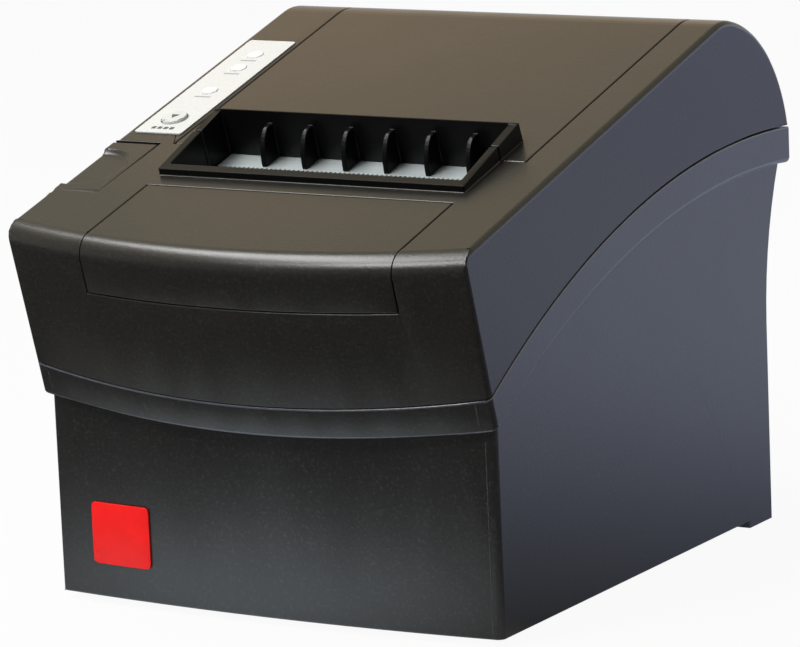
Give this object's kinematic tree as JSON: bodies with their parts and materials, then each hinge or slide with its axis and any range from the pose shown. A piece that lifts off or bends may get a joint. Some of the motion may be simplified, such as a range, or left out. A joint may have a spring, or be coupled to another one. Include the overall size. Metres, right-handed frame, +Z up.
{
  "type": "thermal receipt printer",
  "caption": "Desktop thermal receipt printer with a sloped top, hinged roll cover, ribbed paper mouth, cutter cover, cover-open lever and a rear socket row.",
  "frame": {"origin": "on the floor under the middle of the overall box", "axes": "+Z up, the front with the cutter cover faces -Y, +X to the right seen from the front"},
  "size_m": [0.145, 0.1936, 0.1488],
  "materials": {
    "case": "fine-textured, dark charcoal",
    "base": "spark-textured, dark charcoal",
    "label": "satin silver-grey",
    "key": "satin light grey",
    "lens": "translucent white",
    "badge": "gloss red",
    "steel": "plain",
    "rubber": "matt",
    "gear": "natural acetal",
    "board": "solder-resist green",
    "black": "matt black",
    "thumb": "satin blue",
    "head": "glazed"
  },
  "bodies": {
    "housing": {"base_housing": "base", "top_case": "case", "hinge_rod": "steel", "lever_pin": "steel", "lever_spring": "steel", "control_label": "label", "button_spring": "steel", "led_lenses": "lens", "control_board": "board", "front_badge": "badge", "rubber_feet": "rubber", "case_screws": "steel", "mech_chassis": "steel", "head_pin": "steel", "head_springs": "steel", "drive_motor": "steel", "idler_pin": "steel", "cutter_frame": "steel", "cutter_motor": "steel", "paper_bay": "black", "paper_guide": "black", "paper_sensor": "black", "main_board": "board", "interface_plate": "steel", "power_jack": "black", "usb_port": "steel", "drawer_port": "black", "network_port": "steel", "switch_housing": "black"},
    "roll_cover": {"lid": "case", "tear_plate": "steel", "platen_bearings": "gear"},
    "platen": {"platen_roller": "rubber", "platen_shaft": "steel", "platen_gear": "gear"},
    "idler": {"idler_gear": "gear"},
    "motor_rotor": {"motor_pinion": "gear"},
    "open_lever": {"cover_lever": "case"},
    "feed_key": {"feed_button": "key"},
    "front_cover": {"cutter_cover": "case"},
    "cutter_drive": {"thumbwheel": "thumb", "cutter_shaft": "steel", "cutter_pinion": "gear"},
    "moving_blade": {"cutter_blade": "steel"},
    "cutter_rotor": {"cutter_motor_pinion": "gear"},
    "head": {"print_head": "head", "head_bracket": "steel"},
    "rocker": {"power_rocker": "black"}
  },
  "joints": [
    {"name": "lid_hinge", "type": "hinge", "parent": "housing", "child": "roll_cover", "pos_m": [0.00385, 0.08484, 0.12588], "axis": [-1, 0, 0], "range_deg": [0, 90]},
    {"name": "platen_spin", "type": "hinge", "parent": "roll_cover", "child": "platen", "pos_m": [0.00385, -0.0228, 0.10337], "axis": [1, 0, 0], "continuous": true},
    {"name": "idler_spin", "type": "hinge", "parent": "housing", "child": "idler", "pos_m": [0.056, -0.0362, 0.08592], "axis": [1, 0, 0], "continuous": true},
    {"name": "motor_spin", "type": "hinge", "parent": "housing", "child": "motor_rotor", "pos_m": [0.056, -0.04899, 0.06927], "axis": [1, 0, 0], "continuous": true},
    {"name": "lever_pivot", "type": "hinge", "parent": "housing", "child": "open_lever", "pos_m": [-0.065, -0.06307, 0.1099], "axis": [1, 0, 0], "range_deg": [0, 12], "stiffness_Nm_per_rad": 0.15, "springref_deg": -5.73},
    {"name": "feed_press", "type": "slide", "parent": "housing", "child": "feed_key", "axis": [0, 0.2735, -0.9619], "range_m": [0, 0.0008], "stiffness_N_per_m": 800, "springref_m": -0.0004, "deforming": ["button_spring"]},
    {"name": "cover_slide", "type": "slide", "parent": "housing", "child": "front_cover", "axis": [0, -0.9619, -0.2735], "range_m": [0, 0.045]},
    {"name": "thumbwheel_spin", "type": "hinge", "parent": "housing", "child": "cutter_drive", "pos_m": [-0.035, -0.06369, 0.09729], "axis": [-1, 0, 0], "range_deg": [0, 95.5]},
    {"name": "blade_slide", "type": "slide", "parent": "housing", "child": "moving_blade", "axis": [0, 0.9619, 0.2735], "range_m": [0, 0.008]},
    {"name": "cutter_motor_spin", "type": "hinge", "parent": "housing", "child": "cutter_rotor", "pos_m": [-0.027, -0.06107, 0.08806], "axis": [-1, 0, 0], "range_deg": [-95.5, 0]},
    {"name": "head_pivot", "type": "hinge", "parent": "housing", "child": "head", "pos_m": [0.00385, -0.01868, 0.08175], "axis": [1, 0, 0], "range_deg": [0, 4], "stiffness_Nm_per_rad": 6, "springref_deg": -2.86, "deforming": ["head_springs"]},
    {"name": "rocker_pivot", "type": "hinge", "parent": "housing", "child": "rocker", "pos_m": [0.05817, 0.079, 0.0261], "axis": [-1, 0, 0], "range_deg": [0, 18]}
  ],
  "couplings": [
    {"joint": "idler_spin", "follows": "platen_spin", "ratio": -0.57143},
    {"joint": "motor_spin", "follows": "platen_spin", "ratio": 1.1429},
    {"joint": "thumbwheel_spin", "follows": "blade_slide", "rad_per_m": 208.33},
    {"joint": "cutter_motor_spin", "follows": "blade_slide", "rad_per_m": -208.33}
  ]
}
